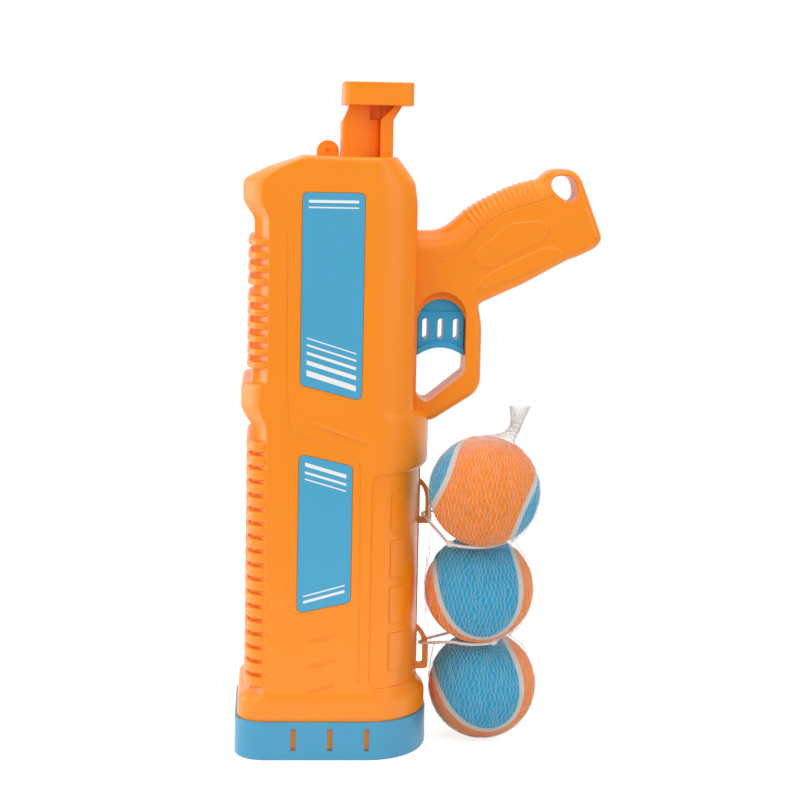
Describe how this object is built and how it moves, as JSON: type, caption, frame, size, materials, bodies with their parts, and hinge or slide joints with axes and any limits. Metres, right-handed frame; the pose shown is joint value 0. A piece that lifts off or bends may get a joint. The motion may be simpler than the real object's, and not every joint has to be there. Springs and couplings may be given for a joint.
{
  "type": "dog tennis ball launcher",
  "caption": "Hand-held spring launcher for tennis balls, standing on its muzzle, with a pistol grip, trigger and pull handle, and a net of spare balls hung from its sling loops.",
  "frame": {"origin": "middle of the footprint, on the surface that the muzzle ring stands on", "axes": "+Z from the muzzle up to the cocking handle, +X towards the grip and the trigger, -Y out of the launcher's left side, which faces the camera"},
  "size_m": [0.2076, 0.1176, 0.386],
  "materials": {
    "housing": "satin",
    "trim": "satin",
    "label": "gloss",
    "inner_plastic": "matte",
    "soft_rubber": "matte",
    "steel": "satin",
    "blue_felt": "matte",
    "orange_felt": "matte",
    "net": "satin",
    "nylon": "satin"
  },
  "bodies": {
    "housing": {"left_housing_half": "housing", "right_housing_half": "housing", "muzzle_ring": "trim", "barrel_tube": "inner_plastic", "ball_retainer": "soft_rubber", "spring_seat": "steel", "sear_pin": "steel", "upper_label_left": "label", "upper_label_right": "label", "lower_label_left": "label", "lower_label_right": "label", "housing_screw_1": "steel", "housing_screw_2": "steel", "housing_screw_3": "steel", "housing_screw_4": "steel", "housing_screw_5": "steel", "housing_screw_6": "steel", "housing_screw_7": "steel", "main_spring": "steel", "sear_spring": "steel"},
    "plunger": {"plunger_head": "inner_plastic", "plunger_seal": "soft_rubber", "plunger_buffer": "soft_rubber", "plunger_screw": "steel", "plunger_rod": "steel", "rod_pin": "steel", "cocking_handle": "housing"},
    "trigger_body": {"trigger": "trim"},
    "sear": {"sear_lever": "steel"},
    "ball_pack": {"tennis_ball_1": "blue_felt", "tennis_ball_2": "blue_felt", "tennis_ball_3": "orange_felt", "net_sleeve": "net", "upper_tie": "nylon", "lower_tie": "nylon"}
  },
  "joints": [
    {"name": "plunger_slide", "type": "slide", "parent": "housing", "child": "plunger", "axis": [0, 0, 1], "range_m": [0, 0.09], "stiffness_N_per_m": 250, "springref_m": -0.03, "deforming": ["main_spring"]},
    {"name": "trigger_slide", "type": "slide", "parent": "housing", "child": "trigger_body", "axis": [0, 0, 1], "range_m": [0, 0.0055], "stiffness_N_per_m": 400, "deforming": ["sear_spring"]},
    {"name": "sear_hinge", "type": "hinge", "parent": "housing", "child": "sear", "pos_m": [-0.0118, 0.0123, 0.262], "axis": [0, -1, 0], "range_deg": [0, 11.3]},
    {"name": "ball_pack_swivel", "type": "hinge", "parent": "housing", "child": "ball_pack", "pos_m": [0.00825, 0.0123, 0.095], "axis": [0, 0, 1], "range_deg": [-7.5, 4]}
  ],
  "couplings": [
    {"joint": "sear_hinge", "follows": "trigger_slide", "rad_per_m": 35.6}
  ]
}
